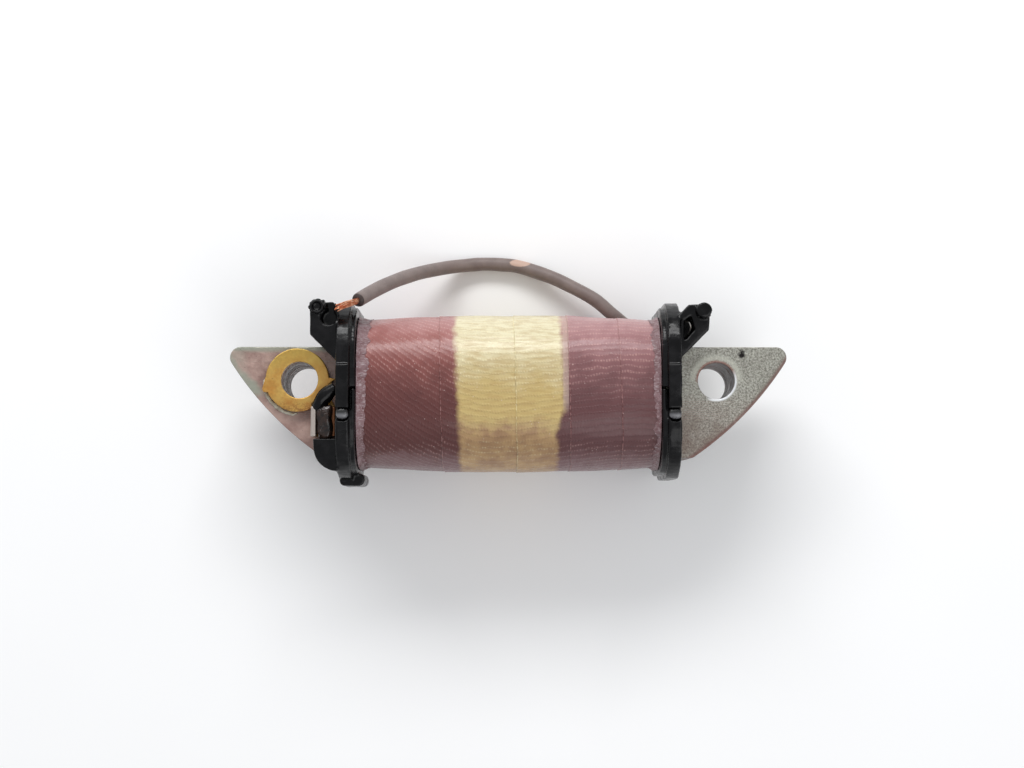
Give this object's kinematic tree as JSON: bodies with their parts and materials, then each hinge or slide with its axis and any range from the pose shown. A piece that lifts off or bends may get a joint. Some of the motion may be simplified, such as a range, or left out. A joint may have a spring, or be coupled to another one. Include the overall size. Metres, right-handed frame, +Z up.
{
  "type": "ignition source coil",
  "caption": "Flywheel ignition coil: laminated steel core with bolt-down pole-shoe wings, wound and taped black bobbin, brass ground ring and a short output lead.",
  "frame": {"origin": "middle of the footprint, at the height of the bobbin flanges' rear faces, on which the coil lies", "axes": "+X along the core from the ground terminal to the bare wing, +Y towards the flywheel's hub, +Z up, out of the stator plate"},
  "size_m": [0.0838, 0.0371, 0.0268],
  "materials": {
    "core_steel": "zinc-plated steel sheet, grainy and varnish stained",
    "black_plastic": "moulded, glossy with resin film",
    "paper_tape": "matte",
    "enamelled_wire": "red-brown enamel",
    "yellow_tape": "varnished yellow film",
    "cloth_tape": "woven cloth, varnish soaked",
    "pale_tape": "ragged cloth, varnish soaked",
    "terminal_brass": "stained, satin",
    "dark_resin": "clear brown varnish",
    "tinned_wire": "tinned",
    "lead_sleeve": "satin, scuffed",
    "bare_copper": "bright bare copper"
  },
  "bodies": {
    "root": {"core_lamination_01": "core_steel", "core_lamination_02": "core_steel", "core_lamination_03": "core_steel", "core_lamination_04": "core_steel", "core_lamination_05": "core_steel", "core_lamination_06": "core_steel", "core_lamination_07": "core_steel", "core_lamination_08": "core_steel", "core_lamination_09": "core_steel", "core_lamination_10": "core_steel", "core_lamination_11": "core_steel", "core_lamination_12": "core_steel", "bobbin_upper_half": "black_plastic", "bobbin_lower_half": "black_plastic", "base_tape": "paper_tape", "magnet_wire_winding": "enamelled_wire", "yellow_barrier_band": "yellow_tape", "end_tape_left": "pale_tape", "end_tape_right": "pale_tape", "ground_ring_terminal": "terminal_brass", "ground_crimp_fill": "dark_resin", "ground_wire_sleeve": "black_plastic", "winding_finish_wire": "tinned_wire", "lead_splice_cover": "cloth_tape", "output_lead": "lead_sleeve", "output_lead_copper": "bare_copper", "cloth_tape_turn_1": "cloth_tape", "cloth_tape_turn_2": "cloth_tape", "cloth_tape_turn_3": "cloth_tape", "cloth_tape_turn_4": "cloth_tape", "cloth_tape_turn_5": "cloth_tape"}
  },
  "joints": []
}
